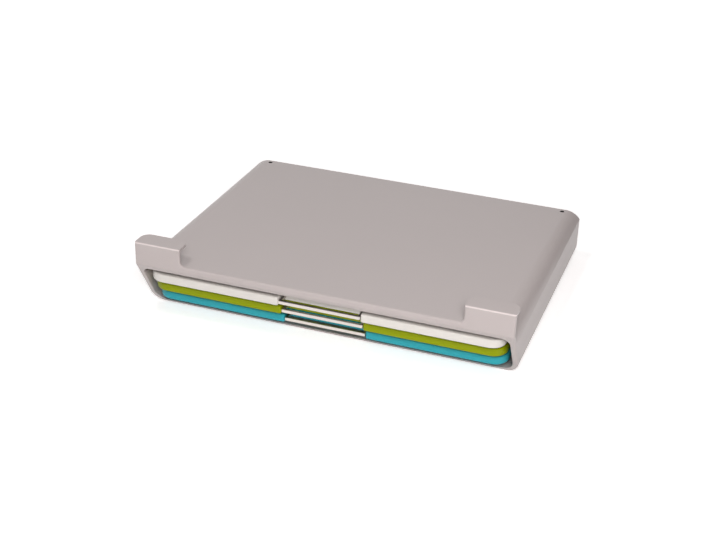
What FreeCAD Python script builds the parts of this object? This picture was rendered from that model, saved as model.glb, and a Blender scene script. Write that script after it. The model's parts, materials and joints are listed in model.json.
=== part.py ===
"""Storage case with three pull-out cutting boards.

Frame: +Z up, the case lying on its outer face; +Y from the mouth to the closed end;
origin at the middle of the footprint, on the base. Millimetres.
"""
import FreeCAD, Part
import math
import os

from FreeCAD import Vector

# ---- boards ------------------------------------------------------------------
BOARD_WIDTH = 350.0
BOARD_LENGTH = 260.0
BOARD_THICKNESS = 8.5
BOARD_PITCH = 13.1
BOARD_CORNER_RADIUS = 14.5
BOARD_EDGE_RADIUS = 1.6
BOARD_PROUD = 1.2            # how far a board's upper front edge stands out of the mouth
NOTCH_WIDTH = 81.5
NOTCH_DEPTH = 13.5
NOTCH_CORNER_RADIUS = 2.0    # where the notch opens on the front edge

# ---- room round the boards ---------------------------------------------------
SIDE_GAP = 7.3               # board to side wall
RAIL_GAP = 4.8               # top board to the rail over it
SLIDE_CLEARANCE = 0.3
GUIDE_CLEARANCE = 0.5
LIFT_CLEARANCE = 0.4
STOP_CLEARANCE = 0.3

# ---- case --------------------------------------------------------------------
SIDE_WALL = 3.0
PANEL_WALL = 2.5
FLOOR_WALL = 2.5
BACK_WALL = 3.0
TOP_FALL = 8.9               # how much lower the top face lies at the closed end
SHOULDER_RADIUS = 19.2
CREASE_DROP = 16.9           # rail top to where the round shoulder meets the upright side wall
PARTING_DROP = 0.4           # the cover parts from the tray just under that line
BASE_CORNER_RADIUS = 13.4
BACK_EDGE_RADIUS = 1.0

# ---- mouth frame -------------------------------------------------------------
RAIL_DROP = 10.3
MOUTH_BREAK_DROP = 5.9       # the front is upright down to here and leans back below
MOUTH_BREAK_RADIUS = 6.0
MOUTH_SETBACK = 34.5         # how far the lean carries the lower lip back
FLANGE_TOP_THICKNESS = 3.0
FLANGE_FOOT_THICKNESS = 11.4
JAMB_WIDTH = 5.0
MOUTH_TOP_RADIUS = 8.0
MOUTH_BASE_RADIUS = 11.0
FRAME_EDGE_RADIUS = 2.0
OPENING_EDGE_RADIUS = 0.8
TONGUE_LENGTH = 6.0
TONGUE_THICKNESS = 1.5
TONGUE_WIDTH = 40.0
TONGUE_SPACING = 110.0
TONGUE_CLEARANCE = 0.1

# ---- door hooks --------------------------------------------------------------
HOOK_WIDTH = 46.8
HOOK_RISE = 17.3
HOOK_LIP_THICKNESS = 2.8
HOOK_LIP_DEPTH = 21.0
HOOK_CORNER_RADIUS = 9.0
HOOK_ROOT_RADIUS = 4.5
HOOK_PAD_THICKNESS = 0.8
HOOK_PAD_MARGIN = 5.0
HOOK_PAD_CORNER_RADIUS = 3.0

# ---- fixing holes near the closed end ----------------------------------------
FIXING_HOLE_DIAMETER = 4.5
FIXING_HOLE_FROM_SIDE = 18.4
FIXING_HOLE_FROM_BACK = 6.7

# ---- board handles -----------------------------------------------------------
HANDLE_HEIGHT = 3.5
HANDLE_LIFT = 2.2
HANDLE_THICKNESS = 3.1
HANDLE_EDGE_RADIUS = 1.4
HANDLE_LEG_WIDTH = 3.0
HANDLE_TAIL = 8.0
HANDLE_FIT = 0.1
PIN_DIAMETER = 1.6
PIN_SETBACK = 4.0
PIN_FIT = 0.05

# ---- runners -----------------------------------------------------------------
RUNNER_FRONT_GAP = 7.0       # behind the lower lip
RUNNER_REAR_GAP = 14.0       # before the back wall
RUNNER_NOSE_RADIUS = 3.0
GUIDE_HEIGHT = 5.0
SHELF_OVERLAP = 7.0          # side runners under a board's edge
BASE_RUNNER_HEIGHT = 7.9
BASE_RUNNER_OVERLAP = 17.0
BASE_RUNNER_FOOT = 10.0
BASE_RUNNER_WING = 3.0
BASE_RUNNER_WALL_GAP = 2.5
KEEPER_OVERLAP = 27.0        # keepers hang from the cover, over the top board
KEEPER_WIDTH = 12.0
PEG_DIAMETER = 2.6
PEG_LENGTH = 1.5
PEG_FIT = 0.1
PEG_COUNT = 3
PEG_MARGIN = 18.0

# ---- rear stops --------------------------------------------------------------
STOP_SPACING = 200.0
STOP_WIDTH = 36.0
STOP_THICKNESS = 7.4         # of the lowest, thinnest step
STOP_PEG_DIAMETER = 4.0
STOP_PEG_LENGTH = 1.8
STOP_PEG_SPACING = 20.0
STOP_PEG_RISE = 15.5

# ---- screws that close the case ----------------------------------------------
SCREW_FROM_SIDE = 45.0
SCREW_FROM_MIDDLE = 55.0
SCREW_BELOW_CREASE = 4.5
SCREW_SHANK_DIAMETER = 3.0
SCREW_HEAD_DIAMETER = 6.0
SCREW_HEAD_DEPTH = 1.7
SCREW_LENGTH = 12.0
SCREW_FIT = 0.1
BOSS_WIDTH = 10.0
BOSS_DEPTH = 14.0
BOSS_DROP = 5.0

MARGIN = 20.0                # how far cutting shapes run past the solid they cut
NEAR = 0.01                  # two places closer than this are the same

# ---- heights and places that follow from the sizes ---------------------------
FIRST_LEVEL = FLOOR_WALL + BASE_RUNNER_HEIGHT + SLIDE_CLEARANCE
BOARD_LEVELS = {
    "teal": FIRST_LEVEL,
    "green": FIRST_LEVEL + BOARD_PITCH,
    "white": FIRST_LEVEL + 2 * BOARD_PITCH,
}
RAIL_BOTTOM = BOARD_LEVELS["white"] + BOARD_THICKNESS + RAIL_GAP
CASE_HEIGHT = RAIL_BOTTOM + RAIL_DROP
CREASE_HEIGHT = CASE_HEIGHT - CREASE_DROP
MOUTH_BREAK_HEIGHT = CASE_HEIGHT - MOUTH_BREAK_DROP
LEAN = MOUTH_SETBACK / MOUTH_BREAK_HEIGHT
TOP = CASE_HEIGHT + HOOK_RISE


def mouth_setback(height):
    """How far the leaning mouth stands behind the front plane at a height."""
    return LEAN * (MOUTH_BREAK_HEIGHT - height)


def board_setback(level):
    """How far a board's front stands behind the front plane."""
    return mouth_setback(level + BOARD_THICKNESS) - BOARD_PROUD


HALF_WIDTH = BOARD_WIDTH / 2 + SIDE_GAP + SIDE_WALL
CASE_DEPTH = board_setback(FIRST_LEVEL) + BOARD_LENGTH + STOP_CLEARANCE + STOP_THICKNESS + BACK_WALL
FRONT = -CASE_DEPTH / 2
BACK = CASE_DEPTH / 2
INNER_SIDE = HALF_WIDTH - SIDE_WALL
INNER_BACK = BACK - BACK_WALL


def top_height(y):
    """Height of the case's falling top face."""
    return CASE_HEIGHT - TOP_FALL * (y - FRONT) / CASE_DEPTH


def panel_underside(y):
    return top_height(y) - PANEL_WALL


def board_front(level):
    return FRONT + board_setback(level)


def board_rear(level):
    return board_front(level) + BOARD_LENGTH


# ---- drawing helpers ---------------------------------------------------------
def box(x0, x1, y0, y1, z0, z1):
    return Part.makeBox(x1 - x0, y1 - y0, z1 - z0, Vector(x0, y0, z0))


def arc_about(centre, radius, start_degrees, end_degrees, place):
    """Arc edge about a 2-D centre; place turns (u, v) into a point in space."""
    points = []
    for degrees in (start_degrees, (start_degrees + end_degrees) / 2, end_degrees):
        angle = math.radians(degrees)
        points.append(place(centre[0] + radius * math.cos(angle), centre[1] + radius * math.sin(angle)))
    return Part.Arc(*points).toShape()


def closed_wire(arcs):
    """Joins arcs in order with straight edges."""
    edges = []
    for index, current in enumerate(arcs):
        following = arcs[(index + 1) % len(arcs)]
        edges.append(current)
        end = current.lastVertex().Point
        start = following.firstVertex().Point
        if end.distanceToPoint(start) > NEAR:
            edges.append(Part.makeLine(end, start))
    return Part.Wire(edges)


def face_between(near, far):
    """Face that joins two like edges, one at each end of a solid."""
    shift = far.firstVertex().Point - near.firstVertex().Point
    if (far.lastVertex().Point - near.lastVertex().Point - shift).Length < NEAR:
        return near.extrude(shift)
    if isinstance(near.Curve, Part.Line):
        corners = [near.firstVertex(), near.lastVertex(), far.lastVertex(), far.firstVertex(), near.firstVertex()]
        return Part.Face(Part.makePolygon([corner.Point for corner in corners]))
    return Part.makeRuledSurface(near, far)


def solid_between(near, far):
    """Solid between two wires that have like edges in the same order."""
    front_face = Part.Face(near)
    front_face.reverse()
    faces = [front_face, Part.Face(far)]
    faces += [face_between(*pair) for pair in zip(near.Edges, far.Edges)]
    shell = Part.makeShell(faces)
    shell.sewShape()
    return Part.makeSolid(shell)


def mirrored(shape):
    return shape.mirror(Vector(0, 0, 0), Vector(1, 0, 0))


def both_sides(shapes):
    return shapes + [mirrored(shape) for shape in shapes]


def cylinder(radius, length, start, direction):
    return Part.makeCylinder(radius, length, start, direction)


def edges_where(shape, test):
    return [edge for edge in shape.Edges if test(edge)]


def is_upright(edge):
    bounds = edge.BoundBox
    return bounds.ZLength > NEAR and bounds.XLength < NEAR and bounds.YLength < NEAR


def is_level(edge):
    return edge.BoundBox.ZLength < NEAR


# ---- case outline ------------------------------------------------------------
def case_section(side, panel, floor, y):
    """Cross-section of the case at y, inset by its wall thicknesses."""
    def place(u, v):
        return Vector(u, y, v)

    shoulder_z = top_height(y) - SHOULDER_RADIUS
    shoulder_x = HALF_WIDTH - math.sqrt(SHOULDER_RADIUS ** 2 - (CREASE_HEIGHT - shoulder_z) ** 2)
    side_x = HALF_WIDTH - side
    shoulder = SHOULDER_RADIUS - panel
    corner = BASE_CORNER_RADIUS - side
    corner_centre = (side_x - corner, floor + corner)
    crease = math.degrees(math.acos((side_x - shoulder_x) / shoulder))
    return closed_wire([
        arc_about((shoulder_x, shoulder_z), shoulder, 90, crease, place),
        arc_about(corner_centre, corner, 0, -90, place),
        arc_about((-corner_centre[0], corner_centre[1]), corner, -90, -180, place),
        arc_about((-shoulder_x, shoulder_z), shoulder, 180 - crease, 90, place),
    ])


def space_before(top_offset, foot_offset):
    """Everything in front of a surface set back from the mouth by the offsets along Y."""
    top_y = FRONT + top_offset
    foot_y = FRONT + MOUTH_SETBACK + foot_offset
    lean_degrees = math.degrees(math.atan2(foot_y - top_y, MOUTH_BREAK_HEIGHT))
    reach = MOUTH_BREAK_RADIUS * math.tan(math.radians(lean_degrees / 2))
    centre = (top_y + MOUTH_BREAK_RADIUS, MOUTH_BREAK_HEIGHT + reach)
    slope = (foot_y - top_y) / MOUTH_BREAK_HEIGHT

    def place(u, v):
        return Vector(-HALF_WIDTH - MARGIN, u, v)

    bend = arc_about(centre, MOUTH_BREAK_RADIUS, 180, 180 + lean_degrees, place)
    corners = [
        bend.lastVertex().Point,
        place(foot_y + slope * MARGIN, -MARGIN),
        place(FRONT - MARGIN, -MARGIN),
        place(FRONT - MARGIN, TOP + MARGIN),
        place(top_y, TOP + MARGIN),
        bend.firstVertex().Point,
    ]
    wire = Part.Wire([bend] + Part.makePolygon(corners).Edges)
    return Part.Face(wire).extrude(Vector(2 * (HALF_WIDTH + MARGIN), 0, 0))


def case_body():
    """The closed case behind the frame, hollow, before it is parted in two."""
    outer = solid_between(case_section(0, 0, 0, FRONT), case_section(0, 0, 0, BACK))
    back_edges = edges_where(outer, lambda edge: edge.BoundBox.YMin > BACK - NEAR)
    outer = outer.makeFillet(BACK_EDGE_RADIUS, back_edges)
    walls = (SIDE_WALL, PANEL_WALL, FLOOR_WALL)
    cavity = solid_between(case_section(*walls, FRONT - MARGIN), case_section(*walls, INNER_BACK))
    return outer.cut(cavity).cut(space_before(FLANGE_TOP_THICKNESS, FLANGE_FOOT_THICKNESS))


# ---- mouth frame and hooks ---------------------------------------------------
def frame_outline():
    """Front view of the frame, hooks included, as a face at the front plane."""
    def place(u, v):
        return Vector(u, FRONT, v)

    inner = HALF_WIDTH - HOOK_WIDTH
    root_centre = (inner - HOOK_ROOT_RADIUS, CASE_HEIGHT + HOOK_ROOT_RADIUS)
    low_centre = (HALF_WIDTH - BASE_CORNER_RADIUS, BASE_CORNER_RADIUS)
    right = [
        arc_about(root_centre, HOOK_ROOT_RADIUS, -90, 0, place),
        Part.makeLine(place(inner, TOP), place(HALF_WIDTH, TOP)),
        arc_about(low_centre, BASE_CORNER_RADIUS, 0, -90, place),
    ]
    left = [
        arc_about((-low_centre[0], low_centre[1]), BASE_CORNER_RADIUS, -90, -180, place),
        Part.makeLine(place(-HALF_WIDTH, TOP), place(-inner, TOP)),
        arc_about((-root_centre[0], root_centre[1]), HOOK_ROOT_RADIUS, 180, 270, place),
    ]
    return Part.Face(closed_wire(right + left))


def mouth_opening():
    def place(u, v):
        return Vector(u, FRONT - MARGIN, v)

    side = HALF_WIDTH - JAMB_WIDTH
    top = (side - MOUTH_TOP_RADIUS, RAIL_BOTTOM - MOUTH_TOP_RADIUS)
    low = (side - MOUTH_BASE_RADIUS, FLOOR_WALL + MOUTH_BASE_RADIUS)
    outline = closed_wire([
        arc_about(top, MOUTH_TOP_RADIUS, 90, 0, place),
        arc_about(low, MOUTH_BASE_RADIUS, 0, -90, place),
        arc_about((-low[0], low[1]), MOUTH_BASE_RADIUS, -90, -180, place),
        arc_about((-top[0], top[1]), MOUTH_TOP_RADIUS, 180, 90, place),
    ])
    return Part.Face(outline).extrude(Vector(0, CASE_DEPTH, 0))


def hook_lip():
    """The turned-down end of the right hook, with its two free corners rounded."""
    inner = HALF_WIDTH - HOOK_WIDTH
    rear = FRONT + HOOK_LIP_DEPTH
    lip = box(inner, HALF_WIDTH, FRONT, rear, TOP - HOOK_LIP_THICKNESS, TOP)
    corners = edges_where(lip, lambda edge: is_upright(edge) and edge.BoundBox.YMin > rear - NEAR)
    return lip.makeFillet(HOOK_CORNER_RADIUS, corners)


def locating_tongues():
    """Tongues behind the frame: three under the cover panel, one inside each side wall."""
    root_y = FRONT + FLANGE_TOP_THICKNESS
    upper_z = panel_underside(root_y + TONGUE_LENGTH) - TONGUE_CLEARANCE
    tongues = []
    for step in (-1, 0, 1):
        centre = step * TONGUE_SPACING
        tongues.append(box(centre - TONGUE_WIDTH / 2, centre + TONGUE_WIDTH / 2, root_y,
                           root_y + TONGUE_LENGTH, upper_z - TONGUE_THICKNESS, upper_z))
    side_x = INNER_SIDE - TONGUE_CLEARANCE
    slab = box(side_x - TONGUE_THICKNESS, side_x, FRONT, BACK,
               BASE_CORNER_RADIUS, CREASE_HEIGHT - TONGUE_THICKNESS)
    ends = space_before(FLANGE_TOP_THICKNESS + TONGUE_LENGTH, FLANGE_FOOT_THICKNESS + TONGUE_LENGTH)
    slab = slab.common(ends).cut(space_before(FLANGE_TOP_THICKNESS, FLANGE_FOOT_THICKNESS))
    return tongues + [slab, mirrored(slab)]


def is_front_rim(edge):
    """True for the edges of the upright front; the rounding runs on down the jambs from them."""
    bounds = edge.BoundBox
    return bounds.YMax < FRONT + NEAR and bounds.ZMin > MOUTH_BREAK_HEIGHT


def is_on_lean(edge):
    """True for an edge that lies in the leaning front of the mouth."""
    return all(abs(FRONT + mouth_setback(vertex.Z) - vertex.Y) < NEAR for vertex in edge.Vertexes)


def is_opening_edge(edge):
    """True for the front edges round the opening."""
    bounds = edge.BoundBox
    between_jambs = max(abs(bounds.XMin), abs(bounds.XMax)) < HALF_WIDTH - JAMB_WIDTH + NEAR
    above_lip = bounds.ZMin > FLOOR_WALL - NEAR
    return between_jambs and above_lip and bounds.ZMax < RAIL_BOTTOM + NEAR and is_on_lean(edge)


def mouth_frame():
    plate = frame_outline().extrude(Vector(0, CASE_DEPTH, 0))
    plate = plate.common(space_before(FLANGE_TOP_THICKNESS, FLANGE_FOOT_THICKNESS))
    lip = hook_lip()
    frame = plate.fuse([lip, mirrored(lip)]).removeSplitter()
    frame = frame.cut(space_before(0, 0))
    rim = edges_where(frame, is_front_rim)
    frame = frame.makeFillet(FRAME_EDGE_RADIUS, rim)
    frame = frame.cut(mouth_opening())
    frame = frame.makeFillet(OPENING_EDGE_RADIUS, edges_where(frame, is_opening_edge))
    return frame.fuse(locating_tongues()).removeSplitter()


def hook_pad():
    """Soft pad under the right hook's lip, where it bears on the door."""
    x0 = HALF_WIDTH - HOOK_WIDTH + HOOK_PAD_MARGIN
    x1 = HALF_WIDTH - HOOK_PAD_MARGIN
    y0 = FRONT + FLANGE_TOP_THICKNESS + HOOK_PAD_MARGIN / 2
    y1 = FRONT + HOOK_LIP_DEPTH - HOOK_PAD_MARGIN / 2
    z1 = TOP - HOOK_LIP_THICKNESS
    pad = box(x0, x1, y0, y1, z1 - HOOK_PAD_THICKNESS, z1)
    return pad.makeFillet(HOOK_PAD_CORNER_RADIUS, edges_where(pad, is_upright))


# ---- case halves -------------------------------------------------------------
def screw_places():
    outer = HALF_WIDTH - SCREW_FROM_SIDE
    return (-outer, -SCREW_FROM_MIDDLE, SCREW_FROM_MIDDLE, outer)


def screw_height():
    return CREASE_HEIGHT - SCREW_BELOW_CREASE


def screw_bosses():
    """Blocks under the cover panel that the closing screws bite into."""
    return [box(x - BOSS_WIDTH / 2, x + BOSS_WIDTH / 2, INNER_BACK - BOSS_DEPTH, INNER_BACK,
                screw_height() - BOSS_DROP, panel_underside(INNER_BACK) + PANEL_WALL / 2)
            for x in screw_places()]


def screw_shape(x, fit):
    """A countersunk screw, or with a fit the hole that takes it."""
    outward = Vector(0, -1, 0)
    start = Vector(x, BACK, screw_height())
    shank_radius = SCREW_SHANK_DIAMETER / 2 + fit
    shank = cylinder(shank_radius, SCREW_LENGTH + fit, start, outward)
    head = Part.makeCone(SCREW_HEAD_DIAMETER / 2 + fit, shank_radius, SCREW_HEAD_DEPTH + fit, start, outward)
    return head.fuse(shank).removeSplitter()


def case_screws():
    return Part.makeCompound([screw_shape(x, 0) for x in screw_places()])


def screw_holes():
    return [screw_shape(x, SCREW_FIT) for x in screw_places()]


def fixing_holes():
    holes = []
    for side in (-1, 1):
        x = side * (HALF_WIDTH - FIXING_HOLE_FROM_SIDE)
        start = Vector(x, BACK - FIXING_HOLE_FROM_BACK, CREASE_HEIGHT)
        holes.append(cylinder(FIXING_HOLE_DIAMETER / 2, CASE_HEIGHT, start, Vector(0, 0, 1)))
    return holes


def above_parting():
    return box(-HALF_WIDTH - MARGIN, HALF_WIDTH + MARGIN, FRONT - MARGIN, BACK + MARGIN,
               CREASE_HEIGHT - PARTING_DROP, CASE_HEIGHT + MARGIN)


def cover_panel(body):
    panel = body.common(above_parting()).fuse(screw_bosses()).removeSplitter()
    return panel.cut(screw_holes() + fixing_holes() + both_sides(keeper_pegs(PEG_FIT)))


def case_tray(body):
    tray = body.cut(above_parting())
    return tray.cut(screw_holes() + both_sides(tray_sockets() + stop_pegs(PEG_FIT)))


# ---- runners -----------------------------------------------------------------
def runner_span():
    start = FRONT + MOUTH_SETBACK + FLANGE_FOOT_THICKNESS + RUNNER_FRONT_GAP
    return start, INNER_BACK - RUNNER_REAR_GAP


def inset(overlap):
    """X of a line that lies inside a board's side edge."""
    return BOARD_WIDTH / 2 - overlap


def guide_face():
    """X of the guides beside the boards."""
    return BOARD_WIDTH / 2 + GUIDE_CLEARANCE


def runner_bar(x0, x1, z0, z1):
    start, end = runner_span()
    return box(x0, x1, start, end, z0, z1)


def peg_row(root_at, direction, fit):
    """Pegs along a runner, half sunk in it; with a fit they are the sockets that take them."""
    start, end = runner_span()
    step = (end - start - 2 * PEG_MARGIN) / (PEG_COUNT - 1)
    row = []
    for index in range(PEG_COUNT):
        root = root_at(start + PEG_MARGIN + step * index) - direction * PEG_LENGTH
        row.append(cylinder(PEG_DIAMETER / 2 + fit, 2 * PEG_LENGTH + fit, root, direction))
    return row


def side_shelf(below):
    """Underside and top of the side runner that sits over the named board."""
    low = BOARD_LEVELS[below] + BOARD_THICKNESS + LIFT_CLEARANCE
    high = BOARD_LEVELS[below] + BOARD_PITCH - SLIDE_CLEARANCE
    return low, high


def side_pegs(below, fit):
    middle = sum(side_shelf(below)) / 2
    return peg_row(lambda y: Vector(INNER_SIDE, y, middle), Vector(1, 0, 0), fit)


def base_pegs(fit):
    x = inset(BASE_RUNNER_OVERLAP) + BASE_RUNNER_FOOT / 2
    return peg_row(lambda y: Vector(x, y, FLOOR_WALL), Vector(0, 0, -1), fit)


def keeper_pegs(fit):
    x = inset(KEEPER_OVERLAP) + KEEPER_WIDTH / 2
    return peg_row(lambda y: Vector(x, y, panel_underside(y)), Vector(0, 0, 1), fit)


def tray_sockets():
    return side_pegs("teal", PEG_FIT) + side_pegs("green", PEG_FIT) + base_pegs(PEG_FIT)


def nosed_bar(x0, x1, z0, z1):
    """A bar of the runners' length with both inner corners rounded."""
    start, end = runner_span()
    bar = box(x0, x1, start, end, z0, z1)
    corners = edges_where(bar, lambda edge: is_upright(edge) and edge.BoundBox.XMax < x0 + NEAR)
    return bar.makeFillet(RUNNER_NOSE_RADIUS, corners)


def side_runner(below):
    """Shelf pegged to the side wall, with a guide beside the board it carries."""
    low, high = side_shelf(below)
    shelf = nosed_bar(inset(SHELF_OVERLAP), INNER_SIDE, low, high)
    guide = runner_bar(guide_face(), INNER_SIDE, high, high + GUIDE_HEIGHT)
    return shelf.fuse([guide] + side_pegs(below, 0)).removeSplitter()


def base_runner():
    """Foot on the floor with a wing and a guide that reach out beside the lowest board."""
    top = FLOOR_WALL + BASE_RUNNER_HEIGHT
    inner = inset(BASE_RUNNER_OVERLAP)
    outer = INNER_SIDE - BASE_RUNNER_WALL_GAP
    foot = nosed_bar(inner, inner + BASE_RUNNER_FOOT, FLOOR_WALL, top)
    wing = runner_bar(inner + BASE_RUNNER_FOOT, outer, top - BASE_RUNNER_WING, top)
    guide = runner_bar(guide_face(), outer, top, top + GUIDE_HEIGHT)
    return foot.fuse([wing, guide] + base_pegs(0)).removeSplitter()


def under_panel():
    """Everything below the plane of the cover panel's underside."""
    def corner(y, z):
        return Vector(-HALF_WIDTH, y, z)

    far = INNER_BACK + MARGIN
    outline = [corner(FRONT, 0), corner(FRONT, panel_underside(FRONT)), corner(far, panel_underside(far)),
               corner(far, 0), corner(FRONT, 0)]
    return Part.Face(Part.makePolygon(outline)).extrude(Vector(2 * HALF_WIDTH, 0, 0))


def top_keeper():
    """Bar under the cover that keeps the top board from tipping up as it is pulled."""
    low = BOARD_LEVELS["white"] + BOARD_THICKNESS + LIFT_CLEARANCE
    inner = inset(KEEPER_OVERLAP)
    bar = nosed_bar(inner, inner + KEEPER_WIDTH, low, CASE_HEIGHT).common(under_panel())
    return bar.fuse(keeper_pegs(0)).removeSplitter()


# ---- rear stops --------------------------------------------------------------
def stop_pegs(fit):
    shapes = []
    length = 2 * STOP_PEG_LENGTH
    for side in (-1, 1):
        x = (STOP_SPACING + side * STOP_PEG_SPACING) / 2
        start = Vector(x, INNER_BACK - STOP_PEG_LENGTH, FLOOR_WALL + STOP_PEG_RISE)
        shapes.append(cylinder(STOP_PEG_DIAMETER / 2 + fit, length + fit, start, Vector(0, 1, 0)))
    return shapes


def rear_stop():
    """Right-hand stepped block; each step stops one board."""
    x0 = (STOP_SPACING - STOP_WIDTH) / 2
    x1 = (STOP_SPACING + STOP_WIDTH) / 2
    low = FLOOR_WALL
    steps = []
    for level in BOARD_LEVELS.values():
        high = level + (BOARD_THICKNESS + BOARD_PITCH) / 2
        steps.append(box(x0, x1, board_rear(level) + STOP_CLEARANCE, INNER_BACK, low, high))
        low = high
    block = steps[0].fuse(steps[1:])
    return block.fuse(stop_pegs(0)).removeSplitter()


# ---- boards ------------------------------------------------------------------
def handle_shape(level, fit):
    """Bent strip across the notch with two tails into the board; a fit gives its pockets."""
    front = board_front(level)
    z0 = level + HANDLE_LIFT - fit
    z1 = level + HANDLE_LIFT + HANDLE_HEIGHT + fit
    outer = NOTCH_WIDTH / 2 - HANDLE_FIT + fit
    inner = NOTCH_WIDTH / 2 - HANDLE_FIT - HANDLE_LEG_WIDTH - fit
    tail = front + NOTCH_DEPTH + HANDLE_TAIL + fit
    strip = box(-outer, outer, front, front + HANDLE_THICKNESS, z0, z1)
    legs = [box(inner, outer, front, tail, z0, z1), box(-outer, -inner, front, tail, z0, z1)]
    return strip.fuse(legs).removeSplitter()


def pin_centres(level):
    x = NOTCH_WIDTH / 2 - HANDLE_FIT - HANDLE_LEG_WIDTH / 2
    y = board_front(level) + NOTCH_DEPTH + PIN_SETBACK
    return [(-x, y), (x, y)]


def handle_pins(level, fit):
    return [cylinder(PIN_DIAMETER / 2 + fit, BOARD_THICKNESS, Vector(x, y, level), Vector(0, 0, 1))
            for x, y in pin_centres(level)]


def board_handle(level):
    """The bent strip with the edges of its bar rounded and its two pin holes."""
    handle = handle_shape(level, 0)
    rear = board_front(level) + HANDLE_THICKNESS
    bar_edges = edges_where(handle, lambda edge: is_level(edge) and edge.BoundBox.XLength > NOTCH_WIDTH / 2
                            and edge.BoundBox.YMax < rear + NEAR)
    handle = handle.makeFillet(HANDLE_EDGE_RADIUS, bar_edges)
    return handle.cut(handle_pins(level, PIN_FIT))


def cutting_board(level):
    front = board_front(level)
    side = BOARD_WIDTH / 2
    board = box(-side, side, front, board_rear(level), level, level + BOARD_THICKNESS)
    board = board.makeFillet(BOARD_CORNER_RADIUS, edges_where(board, is_upright))
    notch = box(-NOTCH_WIDTH / 2, NOTCH_WIDTH / 2, front - MARGIN, front + NOTCH_DEPTH,
                level - MARGIN, level + BOARD_THICKNESS + MARGIN)
    board = board.cut(notch)
    mouth = edges_where(board, lambda edge: is_upright(edge) and edge.BoundBox.YMax < front + NEAR
                        and abs(edge.BoundBox.XMin) < NOTCH_WIDTH / 2 + NEAR)
    board = board.makeFillet(NOTCH_CORNER_RADIUS, mouth)
    board = board.makeFillet(BOARD_EDGE_RADIUS, edges_where(board, is_level))
    return board.cut([handle_shape(level, HANDLE_FIT)] + handle_pins(level, PIN_FIT))


# ---- export ------------------------------------------------------------------
def build():
    body = case_body()
    nodes = {
        "mouth_frame": mouth_frame(),
        "cover_panel": cover_panel(body),
        "case_tray": case_tray(body),
        "case_screws": case_screws(),
    }
    paired = {
        "hook_pad": hook_pad(),
        "rear_stop": rear_stop(),
        "base_runner": base_runner(),
        "lower_runner": side_runner("teal"),
        "upper_runner": side_runner("green"),
        "top_keeper": top_keeper(),
    }
    for name, shape in paired.items():
        nodes[name + "_right"] = shape
        nodes[name + "_left"] = mirrored(shape)
    for colour, level in BOARD_LEVELS.items():
        nodes[colour + "_cutting_board"] = cutting_board(level)
        nodes[colour + "_board_handle"] = board_handle(level)
        nodes[colour + "_handle_pins"] = Part.makeCompound(handle_pins(level, 0))
    return nodes


os.makedirs("parts", exist_ok=True)
for node, shape in build().items():
    shape.exportStep("parts/" + node + ".step")
    print(node, "solids", len(shape.Solids), "valid", shape.isValid(), "volume", round(shape.Volume))
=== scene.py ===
import json
import math

import bmesh
import bpy
from bpy.props import FloatProperty, FloatVectorProperty, PointerProperty
from bpy.types import Operator, Panel, PropertyGroup
from mathutils import Matrix, Vector


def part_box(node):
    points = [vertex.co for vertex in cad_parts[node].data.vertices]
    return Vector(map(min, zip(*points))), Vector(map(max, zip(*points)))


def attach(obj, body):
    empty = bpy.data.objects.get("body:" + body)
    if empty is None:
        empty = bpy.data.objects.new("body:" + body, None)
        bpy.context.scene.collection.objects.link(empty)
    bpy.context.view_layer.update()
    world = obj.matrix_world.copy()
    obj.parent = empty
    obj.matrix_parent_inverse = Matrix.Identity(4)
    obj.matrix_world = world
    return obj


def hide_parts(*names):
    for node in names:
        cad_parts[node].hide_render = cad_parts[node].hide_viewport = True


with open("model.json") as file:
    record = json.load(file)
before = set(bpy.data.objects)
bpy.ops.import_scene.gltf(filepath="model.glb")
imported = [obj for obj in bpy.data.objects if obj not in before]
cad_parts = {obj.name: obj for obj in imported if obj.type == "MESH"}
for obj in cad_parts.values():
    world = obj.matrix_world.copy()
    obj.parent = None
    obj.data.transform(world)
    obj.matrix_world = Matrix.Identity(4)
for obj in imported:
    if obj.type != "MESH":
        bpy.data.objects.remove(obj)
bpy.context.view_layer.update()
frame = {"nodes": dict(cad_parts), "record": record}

bl_info = {
    "name": "Cutting board case",
    "version": (1, 0, 0),
    "blender": (4, 5, 0),
    "location": "3D View > Sidebar > Board Case",
    "description": "Finishes a storage case with three pull-out cutting boards",
    "category": "Object",
}

NODES = frame["nodes"]
COLOURS = ("teal", "green", "white")

# ---- fixed numbers, in metres where nothing else is said ---------------------
MM = 0.001
WELD = 1e-6                      # points nearer than this are one
FLAT_ANGLE = math.radians(0.4)   # faces that turn less than this are one face
SHARP_ANGLE = math.radians(35)   # edges that turn more than this are rounded
PLACE_ERROR_MM = 0.1             # more than the rounding of the record's places
MID_ARC = 1 - math.sqrt(0.5)     # how far a round's middle lies in, per radius

# Steps across each rounded edge and bend, and round a screw's head.
EDGE_STEPS = 2
BAR_EDGE_STEPS = 4
OUTER_BEND_STEPS = 5
INNER_BEND_STEPS = 4
HEAD_STEPS = 32
CROSS_TAPER = 0.6                # floor of the screws' cross, as a share of its mouth

# Middle roughness of each finish, and how far the grain takes it down and up.
ROUGHNESS = {"case": 0.4, "lining": 0.6, "runner": 0.36, "pad": 0.62,
             "bar": 0.3, "pin": 0.34, "screw": 0.32, "felt": 0.9}
PLASTIC_SPREAD = (0.04, 0.05)
STEEL_SPREAD = (0.06, 0.08)

# Moulded plastic. A variation is the share by which a colour wanders.
CASE_GRAIN_DEPTH = 0.004 * MM
CASE_VARIATION = 0.015
PLASTIC_CLOUD = 90 * MM
# The line along the hooks is smoother for real, and its lighter colour is a painted
# highlight.
POLISHED_ROUGHNESS = 0.2
PAINTED_HIGHLIGHT_LIFT = 0.5              # share by which the line along the hooks is lighter: a painted highlight
RUNNER_GRAIN = 0.8 * MM
PAD_GRAIN = 0.4 * MM
PAD_GRAIN_DEPTH = 0.03 * MM
PAD_VARIATION = 0.04

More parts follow.
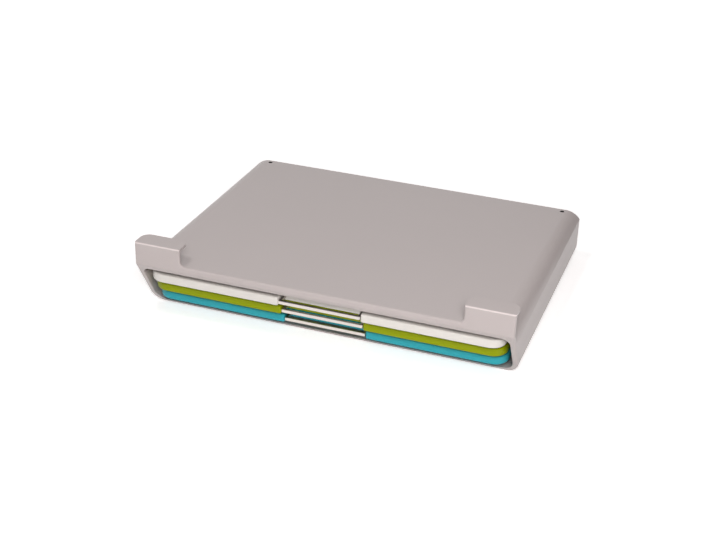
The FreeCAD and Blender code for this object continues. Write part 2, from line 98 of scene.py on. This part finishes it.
# Cutting boards: a smooth border round a field with a grip texture.
BOARD_GRAIN = 0.5 * MM
BOARD_GRAIN_DEPTH = 0.006 * MM
BOARD_CLOUD = 70 * MM
BOARD_VARIATION = 0.02
BEAD_SMOOTHNESS = 0.6
GRIP_DEPTH = 0.12 * MM
GRIP_DARKENING = 0.05
BORDER_ROUGHNESS = (0.33, 0.4)
FIELD_ROUGHNESS = (0.5, 0.6)
FACE_BAND = (0.1 * MM, 0.05 * MM)  # depths between which the texture fades in

# Steel.
STEEL_LINES = 0.25 * MM
STEEL_LINE_DEPTH = 0.004 * MM
STEEL_CLOUD = 6 * MM
STEEL_VARIATION = 0.03
ALONG_X = (0.02, 1.0, 1.0)       # draws the lines out along X

# Stage.
WHITE = (1.0, 1.0, 1.0, 1.0)
FLOOR_HALF = 12                  # half the length of the floor's sides
FLOOR_SEEN = (0.97, 0.94, 0.93, 1.0)
FLOOR_GLOW = {"From Min": 0.3, "From Max": 1.5, "To Min": 0.42, "To Max": 1.0}
CARD_FEET = ((0.1, 0.75, MM), (1.3, 0.1, MM))
FELT_TONES = ((0.008, 0.008, 0.008, 1.0), (0.012, 0.012, 0.012, 1.0))
FELT_CLOUD = 3 * MM
LAMPS = {  # where each lamp stands, where it points, and its diameter
    "key": ((-0.6, 2.1, 1.0), (0, 0, 0), 2.2),
    "top": ((-0.65, -0.5, 2.1), (0, 0, 0), 0.5),
    "fill": ((0.5, -1.25, 0.96), (0, -0.1, 0.03), 0.7),
}
CAMERA_REACH = 50


def tone(red, green, blue):
    """Screen colour, 0 to 255, as the linear colour that shaders take."""
    def linear(code):
        value = code / 255
        if value <= 0.04045:
            return value / 12.92
        return ((value + 0.055) / 1.055) ** 2.4
    return (linear(red), linear(green), linear(blue))


# ---- settings ----------------------------------------------------------------
def colour_setting(name, description, default):
    return FloatVectorProperty(name=name, description=description, default=default,
                               subtype="COLOR", size=3, min=0, max=1)


def length_setting(name, description, default):
    return FloatProperty(name=name, description=description, default=default,
                         min=0, precision=5, subtype="DISTANCE", unit="LENGTH")


def angle_setting(name, description, degrees):
    return FloatProperty(name=name, description=description,
                         default=math.radians(degrees), subtype="ANGLE", unit="ROTATION")


def power_setting(name, description, default):
    return FloatProperty(name=name, description=description, default=default,
                         min=0, subtype="POWER", unit="POWER")


def share_setting(name, description, default, most=1):
    return FloatProperty(name=name, description=description, default=default,
                         min=0, max=most, subtype="FACTOR")


class CaseSettings(PropertyGroup):
    """Sizes and colours of the case and the parts inside"""
    case_colour: colour_setting("Case", "Colour of the moulded case", tone(186, 175, 173))
    # Painted shade: a dark colour on the walls of the two screw holes stands in for the
    # shade inside them.
    painted_hole_shade_colour: colour_setting(
        "Screw holes", "Colour inside the two screw holes", tone(58, 54, 53))
    runner_colour: colour_setting(
        "Runners", "Colour of the parts inside", tone(158, 153, 150))
    pad_colour: colour_setting(
        "Soft pads", "Colour of the pads and stops", tone(92, 90, 88))
    edge_radius: length_setting(
        "Edge radius", "Rounding of the moulded edges", 0.22 * MM)
    hook_rounding: length_setting(
        "Hook rounding", "Rounding along the top of the hooks", 2.0 * MM)
    # Half width of the line along the hooks: smoother roughness, and a painted highlight
    # in its colour.
    polish_and_highlight_width: length_setting(
        "Polish", "Half width of the polished line along the hooks", 0.9 * MM)
    grain_size: length_setting(
        "Grain", "Size of the fine grain in the surface", 0.55 * MM)


class BoardSettings(PropertyGroup):
    """Sizes and colours of the cutting boards"""
    white: colour_setting("White", "Colour of the top board", tone(223, 217, 211))
    green: colour_setting("Green", "Colour of the middle board", tone(140, 151, 0))
    teal: colour_setting("Teal", "Colour of the lowest board", tone(51, 161, 174))
    border: length_setting("Border", "Smooth border round the cutting field", 7 * MM)
    texture_size: length_setting("Texture", "Size of the grip texture", 1.1 * MM)
    gloss: share_setting("Gloss", "Strength of the boards' reflections", 0.15)


class HandleSettings(PropertyGroup):
    """Sizes and colour of the steel finger bars"""
    steel_colour: colour_setting(
        "Steel", "Colour of the satin steel", tone(212, 205, 200))
    bend_radius: length_setting("Bend", "Outer radius where the strip turns", 1.6 * MM)
    thickness: length_setting("Thickness", "Thickness of the bar", 3.1 * MM)
    leg_width: length_setting("Legs", "Width of the tails beside the notch", 3 * MM)
    edge_radius: length_setting("Edge", "Rounding of the strip's long edges", 1.4 * MM)


class ScrewSettings(PropertyGroup):
    """Sizes and colour of the screws that close the case"""
    steel_colour: colour_setting("Steel", "Colour of the screws", tone(196, 194, 192))
    inner_place: length_setting(
        "Inner screws", "From the middle to the two inner screws", 55 * MM)
    head_depth: length_setting("Head", "Depth of the countersunk head", 1.7 * MM)
    shank: length_setting("Shank", "Radius of the shank", 1.5 * MM)
    cross_length: length_setting("Cross", "Length of the cross in the head", 3.6 * MM)
    cross_width: length_setting("Slot", "Width of the slots of the cross", 0.9 * MM)
    recess: length_setting("Recess", "Depth of the cross", 1.1 * MM)
    edge_radius: length_setting("Edge", "Rounding of the head's edges", 0.1 * MM)


class StageSettings(PropertyGroup):
    """Floor, card, lamps and camera"""
    floor_colour: colour_setting("Floor", "Colour of the floor", tone(236, 236, 236))
    camera_place: FloatVectorProperty(
        name="Camera", description="Where the camera stands", size=3,
        default=(0.38445, -1.15492, 0.64501), subtype="TRANSLATION", unit="LENGTH")
    camera_azimuth: angle_setting("Azimuth", "Turn of the camera to the side", 18.903)
    camera_elevation: angle_setting("Elevation", "Tilt of the camera downwards", 27.368)
    camera_roll: angle_setting("Roll", "Turn of the camera about its own axis", 1.771)
    lens: FloatProperty(name="Lens", description="Focal length", default=67.76,
                        min=1, subtype="DISTANCE_CAMERA", unit="CAMERA")
    key_power: power_setting("Key", "Power of the wide lamp at the back", 9)
    top_power: power_setting("Top", "Power of the lamp overhead", 9.5)
    fill_power: power_setting("Fill", "Power of the front lamp", 18)
    room_light: share_setting("Room", "Light from all round", 0.17)
    card_height: length_setting(
        "Dark card", "Height of the card behind the right side", 0.3)
    bounce: share_setting("Bounce", "Light that the floor throws back up", 0.12, most=2)


# ---- node helpers ------------------------------------------------------------
def feed(tree, value, target):
    """Links a socket to the target, or sets the target to a plain value."""
    if isinstance(value, bpy.types.NodeSocket):
        tree.links.new(value, target)
    else:
        target.default_value = value


def add_node(tree, kind, inputs, **choices):
    """A new node with its options set and its inputs fed, by name or number."""
    node = tree.nodes.new(kind)
    for choice, value in choices.items():
        setattr(node, choice, value)
    for socket, value in inputs.items():
        feed(tree, value, node.inputs[socket])
    return node


class Finish:
    """A node material under construction."""

    def __init__(self, name):
        self.material = bpy.data.materials.new(name)
        self.material.use_nodes = True
        self.tree = self.material.node_tree
        self.tree.nodes.clear()
        self.shader = self.tree.nodes.new("ShaderNodeBsdfPrincipled")
        add_node(self.tree, "ShaderNodeOutputMaterial",
                 {"Surface": self.shader.outputs["BSDF"]})
        self.place = self.tree.nodes.new("ShaderNodeTexCoord").outputs["Object"]

    def finished(self, inputs):
        """The material, once the shader's inputs are fed."""
        for socket, value in inputs.items():
            feed(self.tree, value, self.shader.inputs[socket])
        return self.material

    def stretched(self, scale):
        """The place on the object, scaled along each axis."""
        return add_node(self.tree, "ShaderNodeMapping",
                        {"Scale": scale, "Vector": self.place}).outputs["Vector"]

    def noise(self, size, detail=2.0, roughness=0.5, place=None):
        return add_node(self.tree, "ShaderNodeTexNoise",
                        {"Scale": 1 / size, "Detail": detail, "Roughness": roughness,
                         "Vector": place or self.place}).outputs["Fac"]

    def beads(self, size):
        """Round bumps, packed without an order."""
        return add_node(self.tree, "ShaderNodeTexVoronoi",
                        {"Scale": 1 / size, "Smoothness": BEAD_SMOOTHNESS,
                         "Vector": self.place},
                        feature="SMOOTH_F1").outputs["Distance"]

    def spread(self, value, low, high, start=0.3, end=0.7):
        """Maps start..end of a value onto low..high."""
        return add_node(self.tree, "ShaderNodeMapRange",
                        {"Value": value, "From Min": start, "From Max": end,
                         "To Min": low, "To Max": high}).outputs["Result"]

    def maths(self, operation, first, second=0.0):
        return add_node(self.tree, "ShaderNodeMath", {0: first, 1: second},
                        operation=operation).outputs["Value"]

    def blended(self, factor, first, second):
        """A colour between two, by a factor from 0 to 1."""
        return add_node(self.tree, "ShaderNodeMix",
                        {"Factor": factor, "A": first, "B": second},
                        data_type="RGBA").outputs["Result"]

    def relief(self, height, distance, under=None):
        """A bumped normal, laid over another one where that is given."""
        inputs = {"Strength": 1.0, "Distance": distance, "Height": height}
        if under:
            inputs["Normal"] = under
        return add_node(self.tree, "ShaderNodeBump", inputs).outputs["Normal"]

    def axes(self):
        """The three coordinates of the place on the object."""
        node = add_node(self.tree, "ShaderNodeSeparateXYZ", {"Vector": self.place})
        return node.outputs["X"], node.outputs["Y"], node.outputs["Z"]


def shade(colour, amount):
    """A colour made lighter or darker by a share."""
    return tuple(min(1.0, part * (1 + amount)) for part in colour) + (1.0,)


def clouded(finish, cloud_size, colour, variation):
    """A colour that wanders slowly, a share darker here and lighter there."""
    return finish.blended(finish.noise(cloud_size), shade(colour, -variation),
                          shade(colour, variation))


def moulded_plastic(name, colour, roughness, grain_size, grain_depth=CASE_GRAIN_DEPTH,
                    variation=CASE_VARIATION, polish_and_highlight=None):
    """Satin moulded plastic with a fine even grain. Where a line is given, it is smoother
    along that line and lighter in colour, and the lighter colour is a painted highlight.
    """
    finish = Finish(name)
    grain = finish.noise(grain_size, detail=3.0, roughness=0.6)
    base = clouded(finish, PLASTIC_CLOUD, colour, variation)
    smoother, rougher = PLASTIC_SPREAD
    rough = finish.spread(grain, roughness - smoother, roughness + rougher)
    if polish_and_highlight:
        # Painted highlight: the colour along the hooks' top edge is lifted to stand in
        # for a reflected lamp. Only the lower roughness there is real.
        polish_and_highlight_mask = along_line(finish, *polish_and_highlight)
        base = finish.blended(polish_and_highlight_mask, base, shade(colour, PAINTED_HIGHLIGHT_LIFT))
        rough = finish.spread(polish_and_highlight_mask, rough, POLISHED_ROUGHNESS, 0, 1)
    return finish.finished({"Base Color": base, "Roughness": rough,
                            "Normal": finish.relief(grain, grain_depth)})


def along_line(finish, y_place, z_place, half_width):
    """1 on a line parallel to X, and 0 from half_width away."""
    _, y, z = finish.axes()
    across = finish.maths("SUBTRACT", y, y_place)
    above = finish.maths("SUBTRACT", z, z_place)
    squares = finish.maths("ADD", finish.maths("MULTIPLY", across, across),
                           finish.maths("MULTIPLY", above, above))
    return finish.spread(finish.maths("SQRT", squares), 1.0, 0.0,
                         half_width / 2, half_width)


def cutting_field(finish, node, border):
    """1 on a board's two cutting faces, and 0 on their borders and on the edges."""
    low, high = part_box(node)
    middle = (low + high) / 2
    half = (high - low) / 2
    x, y, z = finish.axes()
    inside = []
    for axis, centre, reach in ((x, middle.x, half.x), (y, middle.y, half.y)):
        away = finish.maths("ABSOLUTE", finish.maths("SUBTRACT", axis, centre))
        edge = reach - border
        inside.append(finish.spread(away, 1.0, 0.0, edge, edge + MM))
    height = finish.maths("ABSOLUTE", finish.maths("SUBTRACT", z, middle.z))
    deep, shallow = FACE_BAND
    face = finish.spread(height, 0.0, 1.0, half.z - deep, half.z - shallow)
    return finish.maths("MULTIPLY", finish.maths("MULTIPLY", *inside), face)


def board_plastic(name, colour, node, settings):
    """Cutting board plastic: smooth edges, and a grip texture on the cutting field."""
    finish = Finish(name)
    field = cutting_field(finish, node, settings.border)
    grain = finish.noise(BOARD_GRAIN, detail=3.0)
    base = clouded(finish, BOARD_CLOUD, colour, BOARD_VARIATION)
    grip = finish.maths("MULTIPLY", finish.beads(settings.texture_size), field)
    least, most = (finish.spread(field, on_border, on_field, 0, 1)
                   for on_border, on_field in zip(BORDER_ROUGHNESS, FIELD_ROUGHNESS))
    fine = finish.relief(grain, BOARD_GRAIN_DEPTH)
    return finish.finished({
        "Base Color": finish.blended(field, base, shade(colour, -GRIP_DARKENING)),
        "Roughness": finish.spread(grain, least, most),
        "Specular IOR Level": settings.gloss,
        "Normal": finish.relief(grip, GRIP_DEPTH, under=fine)})


def satin_steel(name, colour, roughness, along=(1.0, 1.0, 1.0)):
    """Steel with fine lines that run along one direction."""
    finish = Finish(name)
    lines = finish.noise(STEEL_LINES, detail=4.0, roughness=0.7,
                         place=finish.stretched(along))
    smoother, rougher = STEEL_SPREAD
    return finish.finished({
        "Metallic": 1.0,
        "Base Color": clouded(finish, STEEL_CLOUD, colour, STEEL_VARIATION),
        "Roughness": finish.spread(lines, roughness - smoother, roughness + rougher),
        "Normal": finish.relief(lines, STEEL_LINE_DEPTH)})


# ---- mesh helpers ------------------------------------------------------------
def new_object(name, bm, material):
    """Turns a finished bmesh into an object of the scene."""
    mesh = bpy.data.meshes.new(name)
    bm.to_mesh(mesh)
    bm.free()
    mesh.materials.append(material)
    made = bpy.data.objects.new(name, mesh)
    bpy.context.scene.collection.objects.link(made)
    return made


def new_piece(name, bm, material, body, slot, *replaced):
    """Turns a finished bmesh into a piece that rides on a body."""
    bmesh.ops.recalc_face_normals(bm, faces=bm.faces)
    for face in bm.faces:
        face.smooth = True
    piece = new_object(name, bm, material)
    flats = piece.modifiers.new("Keep flats flat", "WEIGHTED_NORMAL")
    flats.keep_sharp = True
    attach(piece, body)
    if replaced:
        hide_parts(*replaced)
    return piece


def bevelled(bm, edges, offset, segments):
    bmesh.ops.bevel(bm, geom=edges, offset=offset, offset_type="OFFSET",
                    segments=segments, profile=0.5, affect="EDGES",
                    clamp_overlap=True, material=-1)


def sharp_edges(bm):
    return [edge for edge in bm.edges
            if edge.is_manifold and edge.calc_face_angle(0) > SHARP_ANGLE]


def of_kind(geometry, kind):
    """The verts, or the edges, among what a bmesh operator made."""
    return [part for part in geometry if isinstance(part, kind)]


def softened(node, radius):
    """A copy of a node's solid, with its sharp edges broken as a mould leaves them."""
    bm = bmesh.new()
    bm.from_mesh(NODES[node].data)
    bmesh.ops.remove_doubles(bm, verts=bm.verts, dist=WELD)
    bmesh.ops.dissolve_limit(bm, angle_limit=FLAT_ANGLE, verts=bm.verts, edges=bm.edges)
    bevelled(bm, sharp_edges(bm), radius, EDGE_STEPS)
    return bm


def finish_node(node, material):
    """Gives a carried-over node a finish; its shape stays as it is."""
    slots = NODES[node].data.materials
    slots.clear()
    slots.append(material)


def both_sides(*names):
    return [name + side for name in names for side in ("_left", "_right")]


# ---- operators ---------------------------------------------------------------
class BOARDCASE_OT_case(Operator):
    """Make the mouth frame, cover panel and tray of the case"""
    bl_idname = "boardcase.case"
    bl_label = "Case"

    def execute(self, context):
        settings = context.scene.boardcase_case
        look = (settings.case_colour, ROUGHNESS["case"], settings.grain_size)
        low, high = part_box("mouth_frame")
        # Along the middle of the hooks' top front rounding: lower roughness, and a
        # painted highlight in the frame's colour.
        inset = settings.hook_rounding * MID_ARC
        polish_and_highlight_line = (low.y + inset, high.z - inset, settings.polish_and_highlight_width)
        polished_and_highlighted = moulded_plastic("satin_frame_plastic", *look, polish_and_highlight=polish_and_highlight_line)
        plain = moulded_plastic("satin_case_plastic", *look)
        # The walls of the screw holes get a dark colour, which is painted shade inside
        # the holes.
        lining = moulded_plastic("screw_hole_lining", settings.painted_hole_shade_colour,
                                 ROUGHNESS["lining"], settings.grain_size)
        for node, plastic in (("mouth_frame", polished_and_highlighted), ("cover_panel", plain),
                              ("case_tray", plain)):
            bm = softened(node, settings.edge_radius)
            if node == "cover_panel":
                paint_shade_in_screw_holes(bm)
            piece = new_piece("moulded_" + node, bm, plastic,
                              "case", "case_plastic", node)
            if node == "cover_panel":
                piece.data.materials.append(lining)
        return {"FINISHED"}


def paint_shade_in_screw_holes(bm):
    """Gives the walls of the two holes for wall screws the second material, whose dark
    colour is painted shade inside the holes.
    """
    mount = next(item for item in frame["record"]["mounts"]
                 if item["name"] == "fixing_holes")
    reach = (mount["dims"]["hole_r_mm"] + PLACE_ERROR_MM) * MM
    for side in (-0.5, 0.5):
        centre = Vector((side * mount["dims"]["spacing_x_mm"] * MM, mount["pos_m"][1]))
        for face in bm.faces:
            if all((vert.co.xy - centre).length < reach for vert in face.verts):
                face.material_index = 1


class BOARDCASE_OT_inside(Operator):
    """Finish the runners, keepers, stops and hook pads"""
    bl_idname = "boardcase.inside"
    bl_label = "Runners, stops and pads"

    def execute(self, context):
        settings = context.scene.boardcase_case
        plastic = moulded_plastic("runner_plastic_finish", settings.runner_colour,
                                  ROUGHNESS["runner"], RUNNER_GRAIN)
        soft = moulded_plastic("soft_pad_finish", settings.pad_colour,
                               ROUGHNESS["pad"], PAD_GRAIN, PAD_GRAIN_DEPTH,
                               PAD_VARIATION)
        for node in both_sides("base_runner", "lower_runner", "upper_runner",
                               "top_keeper"):
            finish_node(node, plastic)
        for node in both_sides("rear_stop", "hook_pad"):
            finish_node(node, soft)
        return {"FINISHED"}


class BOARDCASE_OT_boards(Operator):
    """Finish the three cutting boards"""
    bl_idname = "boardcase.boards"
    bl_label = "Cutting boards"

    def execute(self, context):
        settings = context.scene.boardcase_boards
        for colour in COLOURS:
            node = colour + "_cutting_board"
            plastic = board_plastic(colour + "_board_plastic",
                                    getattr(settings, colour), node, settings)
            finish_node(node, plastic)
        return {"FINISHED"}


class BOARDCASE_OT_handles(Operator):
    """Make the steel finger bars of the boards and finish their pins"""
    bl_idname = "boardcase.handles"
    bl_label = "Finger bars"

    def execute(self, context):
        settings = context.scene.boardcase_handles
        brushed = satin_steel("satin_bar_steel", settings.steel_colour,
                              ROUGHNESS["bar"], ALONG_X)
        plain = satin_steel("plain_pin_steel", settings.steel_colour, ROUGHNESS["pin"])
        for colour in COLOURS:
            node = colour + "_board_handle"
            low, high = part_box(node)
            bm = bent_strip(low, high, settings)
            new_piece(colour + "_finger_bar", bm, brushed,
                      colour + "_board", "handle_steel", node)
            finish_node(colour + "_handle_pins", plain)
        return {"FINISHED"}


def bent_strip(low, high, settings):
    """A strip bent into a U, open towards +Y, with round bends and edges."""
    inner_left, inner_right = low.x + settings.leg_width, high.x - settings.leg_width
    inner_front = low.y + settings.thickness
    bm = bmesh.new()
    outline = [(low.x, high.y), (low.x, low.y), (high.x, low.y), (high.x, high.y),
               (inner_right, high.y), (inner_right, inner_front),
               (inner_left, inner_front), (inner_left, high.y)]
    face = bm.faces.new([bm.verts.new((x, y, low.z)) for x, y in outline])
    raised = bmesh.ops.extrude_face_region(bm, geom=[face])["geom"]
    bmesh.ops.translate(bm, vec=(0, 0, high.z - low.z),
                        verts=of_kind(raised, bmesh.types.BMVert))
    bevelled(bm, upright_edges(bm, low.y), settings.bend_radius, OUTER_BEND_STEPS)
    bevelled(bm, upright_edges(bm, inner_front), settings.bend_radius / 2,
             INNER_BEND_STEPS)
    bevelled(bm, sharp_edges(bm), settings.edge_radius, BAR_EDGE_STEPS)
    return bm


def upright_edges(bm, y_place):
    """The edges that rise along Z at one place along Y."""
    return [edge for edge in bm.edges
            if abs(edge.verts[0].co.z - edge.verts[1].co.z) > WELD
            and abs(edge.verts[0].co.y - y_place) < WELD]


class BOARDCASE_OT_screws(Operator):
    """Make the countersunk screws that close the case"""
    bl_idname = "boardcase.screws"
    bl_label = "Case screws"

    def execute(self, context):
        settings = context.scene.boardcase_screws
        steel = satin_steel("screw_steel", settings.steel_colour, ROUGHNESS["screw"])
        low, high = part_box("case_screws")
        radius = (high.z - low.z) / 2
        outer = high.x - radius
        bm = bmesh.new()
        for x in (-outer, -settings.inner_place, settings.inner_place, outer):
            place = Vector((x, high.y, low.z + radius))
            cross_head_screw(bm, place, radius, high.y - low.y, settings)
        bmesh.ops.recalc_face_normals(bm, faces=bm.faces)
        bevelled(bm, sharp_edges(bm), settings.edge_radius, EDGE_STEPS)
        new_piece("cross_head_screws", bm, steel, "case", "fastener_steel",
                  "case_screws")
        return {"FINISHED"}


def cross_outline(arm, half):
    """The twelve corners of an upright cross, in order round it."""
    outline = []
    for turn in range(4):
        for x, z in ((half, arm), (half, half), (arm, half)):
            for _ in range(turn):
                x, z = z, -x
            outline.append((x, z))
    return outline


def cross_head_screw(bm, place, radius, length, settings):
    """A countersunk screw that points to -Y, with a tapered cross in its head."""
    outline = cross_outline(settings.cross_length / 2, settings.cross_width / 2)
    cross = bm.faces.new([bm.verts.new((x, 0, z)) for x, z in outline])
    mouth = list(cross.edges)
    made = list(cross.verts)
    sunk = bmesh.ops.extrude_face_region(bm, geom=[cross])["geom"]
    floor = of_kind(sunk, bmesh.types.BMVert)
    bmesh.ops.delete(bm, geom=[cross], context="FACES_ONLY")
    bmesh.ops.scale(bm, vec=(CROSS_TAPER, 1, CROSS_TAPER), verts=floor)
    bmesh.ops.translate(bm, vec=(0, -settings.recess, 0), verts=floor)
    upright = Matrix.Rotation(math.radians(90), 4, "X")
    rim = bmesh.ops.create_circle(bm, segments=HEAD_STEPS, radius=radius,
                                  matrix=upright)["verts"]
    ring = list(dict.fromkeys(edge for vert in rim for edge in vert.link_edges))
    bmesh.ops.bridge_loops(bm, edges=mouth + ring)
    made += floor + rim
    for share, depth in ((settings.shank / radius, settings.head_depth),
                         (1.0, length - settings.head_depth)):
        grown = bmesh.ops.extrude_edge_only(bm, edges=ring)["geom"]
        ring = of_kind(grown, bmesh.types.BMEdge)
        verts = of_kind(grown, bmesh.types.BMVert)
        bmesh.ops.scale(bm, vec=(share, 1, share), verts=verts)
        bmesh.ops.translate(bm, vec=(0, -depth, 0), verts=verts)
        made += verts
    bmesh.ops.contextual_create(bm, geom=ring)
    bmesh.ops.translate(bm, vec=place, verts=made)


class BOARDCASE_OT_stage(Operator):
    """Make the floor, a dark card, the lamps and the camera"""
    bl_idname = "boardcase.stage"
    bl_label = "Stage"

    def execute(self, context):
        settings = context.scene.boardcase_stage
        make_floor(settings)
        make_dark_card(settings)
        make_world(context.scene, settings)
        make_lamps(settings)
        make_camera(context.scene, settings)
        return {"FINISHED"}


# ---- stage -------------------------------------------------------------------
def make_floor(settings):
    """A pale floor that looks white from afar and keeps the object's shadow."""
    material = bpy.data.materials.new("pale_floor")
    material.use_nodes = True
    tree = material.node_tree
    tree.nodes.clear()
    lighting = glowing_surface(tree, (*settings.floor_colour, 1.0), settings.bounce)
    place = tree.nodes.new("ShaderNodeTexCoord").outputs["Object"]
    away = add_node(tree, "ShaderNodeVectorMath", {0: place}, operation="LENGTH")
    glow = add_node(tree, "ShaderNodeMapRange",
                    {"Value": away.outputs["Value"], **FLOOR_GLOW})
    look = glowing_surface(tree, FLOOR_SEEN, glow.outputs["Result"])
    pick_seen(tree, lighting, look, "ShaderNodeOutputMaterial")
    bm = bmesh.new()
    bmesh.ops.create_grid(bm, x_segments=1, y_segments=1, size=FLOOR_HALF)
    floor = new_object("floor", bm, material)


def glowing_surface(tree, colour, glow):
    """A matt surface that also gives off an even white light."""
    matt = add_node(tree, "ShaderNodeBsdfDiffuse", {"Color": colour})
    light = add_node(tree, "ShaderNodeEmission", {"Strength": glow})
    both = add_node(tree, "ShaderNodeAddShader",
                    {0: matt.outputs["BSDF"], 1: light.outputs["Emission"]})
    return both.outputs["Shader"]


def pick_seen(tree, lighting, look, output):
    """Lights the object with one shader, and shows the eye another."""
    path = tree.nodes.new("ShaderNodeLightPath")
    seen = path.outputs["Is Camera Ray"]
    for name in ("Is Glossy Ray", "Is Transmission Ray"):
        seen = add_node(tree, "ShaderNodeMath", {0: seen, 1: path.outputs[name]},
                        operation="MAXIMUM").outputs["Value"]
    pick = add_node(tree, "ShaderNodeMixShader", {"Fac": seen, 1: lighting, 2: look})
    add_node(tree, output, {"Surface": pick.outputs["Shader"]})


def make_dark_card(settings):
    """A low card behind the right side. It shows only in reflections."""
    corner, far_corner = (Vector(foot) for foot in CARD_FEET)
    rise = Vector((0, 0, settings.card_height))
    bm = bmesh.new()
    bm.faces.new([bm.verts.new(place) for place in
                  (corner, far_corner, far_corner + rise, corner + rise)])
    felt = Finish("dark_felt")
    material = felt.finished({
        "Base Color": felt.blended(felt.noise(FELT_CLOUD), *FELT_TONES),
        "Roughness": ROUGHNESS["felt"]})
    card = new_object("dark_card", bm, material)
    card.visible_camera = False
    card.visible_diffuse = False
    card.visible_shadow = False


def make_world(scene, settings):
    """Even light from all round, and plain white where the world is seen."""
    world = bpy.data.worlds.new("studio")
    scene.world = world
    world.use_nodes = True
    tree = world.node_tree
    tree.nodes.clear()
    room, backdrop = (
        add_node(tree, "ShaderNodeBackground", {"Color": WHITE, "Strength": strength})
        for strength in (settings.room_light, 1.0))
    pick_seen(tree, room.outputs["Background"], backdrop.outputs["Background"],
              "ShaderNodeOutputWorld")


def make_lamp(name, place, target, size, power):
    """A round soft lamp that lights the object and leaves no hot spot on it."""
    data = bpy.data.lights.new(name, "AREA")
    data.shape = "DISK"
    data.size = size
    data.energy = power
    lamp = bpy.data.objects.new(name, data)
    bpy.context.scene.collection.objects.link(lamp)
    lamp.visible_glossy = False
    turn = (Vector(target) - Vector(place)).to_track_quat("-Z", "Y")
    lamp.matrix_world = Matrix.Translation(place) @ turn.to_matrix().to_4x4()


def make_lamps(settings):
    for name, (place, target, size) in LAMPS.items():
        power = getattr(settings, name + "_power")
        make_lamp(name + "_lamp", place, target, size, power)


def make_camera(scene, settings):
    azimuth, elevation = settings.camera_azimuth, settings.camera_elevation
    forward = Vector((-math.sin(azimuth) * math.cos(elevation),
                      math.cos(azimuth) * math.cos(elevation), -math.sin(elevation)))
    right = Vector((math.cos(azimuth), math.sin(azimuth), 0))
    level = Matrix((right, right.cross(forward), -forward)).transposed().to_4x4()
    data = bpy.data.cameras.new("camera")
    data.lens = settings.lens
    data.clip_end = CAMERA_REACH
    camera = bpy.data.objects.new("camera", data)
    scene.collection.objects.link(camera)
    camera.matrix_world = (Matrix.Translation(settings.camera_place) @ level
                           @ Matrix.Rotation(settings.camera_roll, 4, "Z"))
    scene.camera = camera
    scene.view_settings.view_transform = "Standard"


# ---- panel and running -------------------------------------------------------
OPERATORS = (BOARDCASE_OT_case, BOARDCASE_OT_inside, BOARDCASE_OT_boards,
             BOARDCASE_OT_handles, BOARDCASE_OT_screws, BOARDCASE_OT_stage)


class BOARDCASE_PT_panel(Panel):
    """Lists the operators that make the case and its stage"""
    bl_label = "Board case"
    bl_idname = "BOARDCASE_PT_panel"
    bl_space_type = "VIEW_3D"
    bl_region_type = "UI"
    bl_category = "Board Case"

    def draw(self, context):
        for operator in OPERATORS:
            self.layout.operator(operator.bl_idname)


SETTINGS = {"boardcase_case": CaseSettings, "boardcase_boards": BoardSettings,
            "boardcase_handles": HandleSettings, "boardcase_screws": ScrewSettings,
            "boardcase_stage": StageSettings}


def register():
    for group in (*SETTINGS.values(), *OPERATORS, BOARDCASE_PT_panel):
        bpy.utils.register_class(group)
    for name, group in SETTINGS.items():
        setattr(bpy.types.Scene, name, PointerProperty(type=group))


def unregister():
    for name in SETTINGS:
        delattr(bpy.types.Scene, name)
    for group in (BOARDCASE_PT_panel, *OPERATORS, *SETTINGS.values()):
        bpy.utils.unregister_class(group)


def main():
    register()
    bpy.ops.boardcase.case()
    bpy.ops.boardcase.inside()
    bpy.ops.boardcase.boards()
    bpy.ops.boardcase.handles()
    bpy.ops.boardcase.screws()
    bpy.ops.boardcase.stage()


if __name__ == "__main__":
    main()
